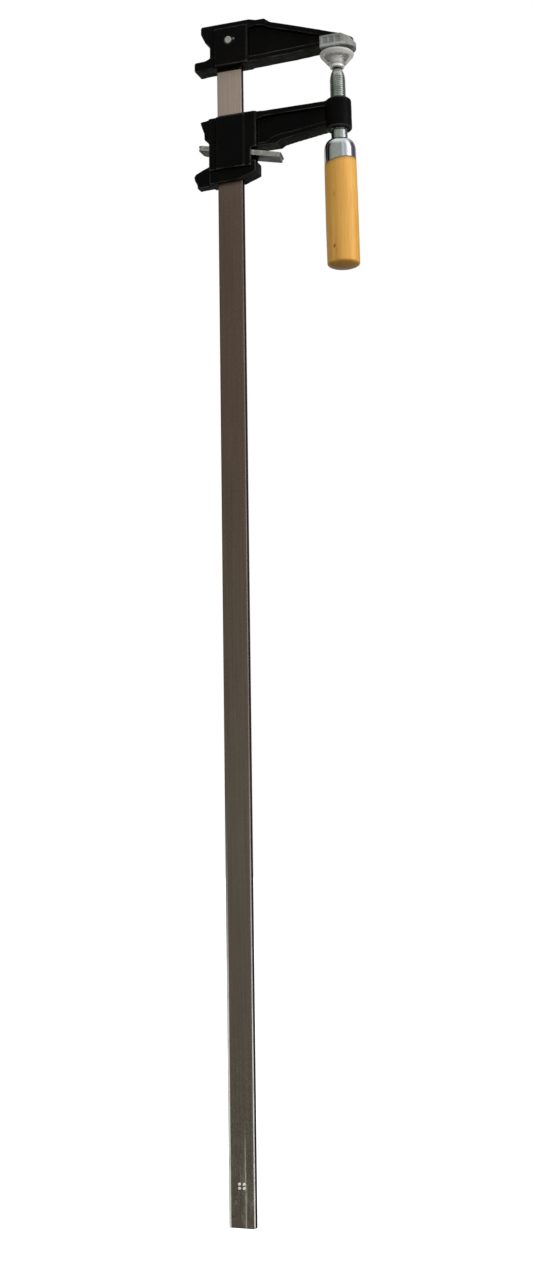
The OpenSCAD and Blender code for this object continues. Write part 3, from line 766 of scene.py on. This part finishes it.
def make_camera():
    """Low on the clamp's right, looking a little up, so the bar leans slightly in the picture."""
    right = Vector((0.940006, 0.340894, -0.013372))
    down = Vector((-0.050126, 0.099236, -0.993801))
    forward = Vector((-0.337454, 0.934849, 0.110370))
    data = bpy.data.cameras.new("camera")
    data.sensor_fit = "AUTO"
    data.sensor_width = 36
    data.lens = 49.19
    data.clip_start = 0.05
    data.clip_end = 60
    cam = bpy.data.objects.new("camera", data)
    rot = Matrix((right, -down, -forward)).transposed().to_4x4()
    cam.matrix_world = Matrix.Translation(Vector((0.4651, -1.2229, -0.5935)) + right * 0.0004) @ rot
    bpy.context.collection.objects.link(cam)
    bpy.context.scene.camera = cam


def area_light(name, azimuth, height, distance, size, power, colour=(1, 1, 1)):
    """A soft box aimed at the clamp; azimuth 0 is in front, 90 towards +X. Metal doesn't mirror it."""
    data = bpy.data.lights.new(name, "AREA")
    data.shape = "RECTANGLE"
    data.size, data.size_y = size
    data.energy = power
    data.color = colour
    obj = bpy.data.objects.new(name, data)
    bpy.context.collection.objects.link(obj)
    a = math.radians(azimuth)
    target = Vector((0.05, 0, -0.25))
    obj.location = target + Vector((math.sin(a) * distance, -math.cos(a) * distance, height))
    obj.rotation_euler = (target - obj.location).to_track_quat("-Z", "Y").to_euler()
    obj.visible_glossy = False
    return obj


def studio_world():
    """Bright and dark panels standing round the object, as a studio has; the camera sees white."""
    scene = bpy.context.scene
    scene.view_settings.view_transform = "Standard"
    world = bpy.data.worlds.new("studio")
    scene.world = world
    world.use_nodes = True
    tree = world.node_tree
    background = tree.nodes["Background"]

    def node(kind, *inputs, **settings):
        n = tree.nodes.new(kind)
        for key, value in settings.items():
            setattr(n, key, value)
        for socket, value in zip(n.inputs, inputs):
            if isinstance(value, bpy.types.NodeSocket):
                tree.links.new(value, socket)
            elif value is not None:
                socket.default_value = value
        return n

    def blend(factor, start, other):
        """From the linked colour start to the plain colour other."""
        n = node("ShaderNodeMix", data_type="RGBA")
        tree.links.new(factor, n.inputs[0])
        tree.links.new(start, n.inputs[6])
        n.inputs[7].default_value = other
        return n.outputs[2]

    way = node("ShaderNodeSeparateXYZ", node("ShaderNodeTexCoord").outputs["Generated"])
    front = node("ShaderNodeMath", way.outputs[1], -1.0, operation="MULTIPLY")
    turn = node("ShaderNodeMath", way.outputs[0], front.outputs[0], operation="ARCTAN2")
    turn = node("ShaderNodeMath", turn.outputs[0], 1 / (2 * math.pi), 0.5, operation="MULTIPLY_ADD")
    ramp = node("ShaderNodeValToRGB", turn.outputs[0])
    stops = [(-180, (0.36, 0.36, 0.36)), (-128, (0.38, 0.38, 0.36)), (-95, (0.22, 0.22, 0.20)),
             (-86, (0.03, 0.03, 0.027)), (-82, (0.006, 0.006, 0.005)), (-68, (0.006, 0.006, 0.005)),
             (-60, (0.12, 0.126, 0.115)), (-48, (0.20, 0.215, 0.19)), (-18, (0.24, 0.265, 0.235)),
             (6, (0.25, 0.28, 0.25)), (24, (0.22, 0.24, 0.225)), (40, (0.46, 0.48, 0.50)),
             (54, (0.30, 0.32, 0.35)),
             (68, (0.55, 0.58, 0.64)), (82, (1.25, 1.26, 1.28)), (96, (1.25, 1.25, 1.25)),
             (105, (0.45, 0.45, 0.48)), (111, (0.10, 0.10, 0.135)), (143, (0.05, 0.05, 0.075)),
             (158, (0.20, 0.20, 0.21)), (180, (0.36, 0.36, 0.36))]
    band = ramp.color_ramp
    while len(band.elements) < len(stops):
        band.elements.new(0.5)
    for e, (at, colour) in zip(band.elements, stops):
        e.position = at / 360 + 0.5
        e.color = (*colour, 1)
    high = node("ShaderNodeMapRange", way.outputs[2], 0.62, 0.9, 0.0, 1.0)
    low = node("ShaderNodeMapRange", way.outputs[2], -0.24, -0.44, 0.0, 1.0)
    colour = blend(high.outputs[0], ramp.outputs[0], (0.6, 0.6, 0.6, 1))
    colour = blend(low.outputs[0], colour, (0.11, 0.10, 0.09, 1))
    lift = node("ShaderNodeVectorMath", colour, (1.35, 1.35, 1.35), operation="MULTIPLY")
    seen = blend(node("ShaderNodeLightPath").outputs["Is Camera Ray"], lift.outputs[0], (1, 1, 1, 1))
    tree.links.new(seen, background.inputs["Color"])
    background.inputs["Strength"].default_value = 1.0


def make_floor():
    """A wide pale floor, well below the clamp's lower end."""
    z = cad_lo.z - 0.2
    bm = bmesh.new()
    lathe_into(bm, [(0, 0), (4000, 0), (16000, 0)], Matrix.Translation((0, 0, z)), 64)
    floor = from_bmesh("floor", bm)
    f = Finish("floor_paper", rough=0.9, specular=0.0, Emission_Strength=0.82,
               Emission_Color=(1.0, 0.998, 0.99))
    f.put("Base Color", f.mix(f.noise((40, 40, 40), 2, 0.5), (0.84, 0.84, 0.83), (0.88, 0.88, 0.87)))
    floor.data.materials.append(f.mat)
    floor.visible_glossy = False
    floor.visible_diffuse = False
    floor.visible_transmission = True


make_parts()
make_camera()
studio_world()
make_floor()
area_light("key", 80, 0.55, 1.5, (0.9, 1.3), 20, (1.0, 0.97, 0.92))
area_light("front", 10, 0.7, 1.7, (1.0, 1.0), 8)
area_light("low", 25, -0.72, 1.6, (1.2, 0.8), 9)
area_light("left", -70, 0.3, 1.6, (0.8, 1.3), 6, (1.0, 0.96, 0.97))
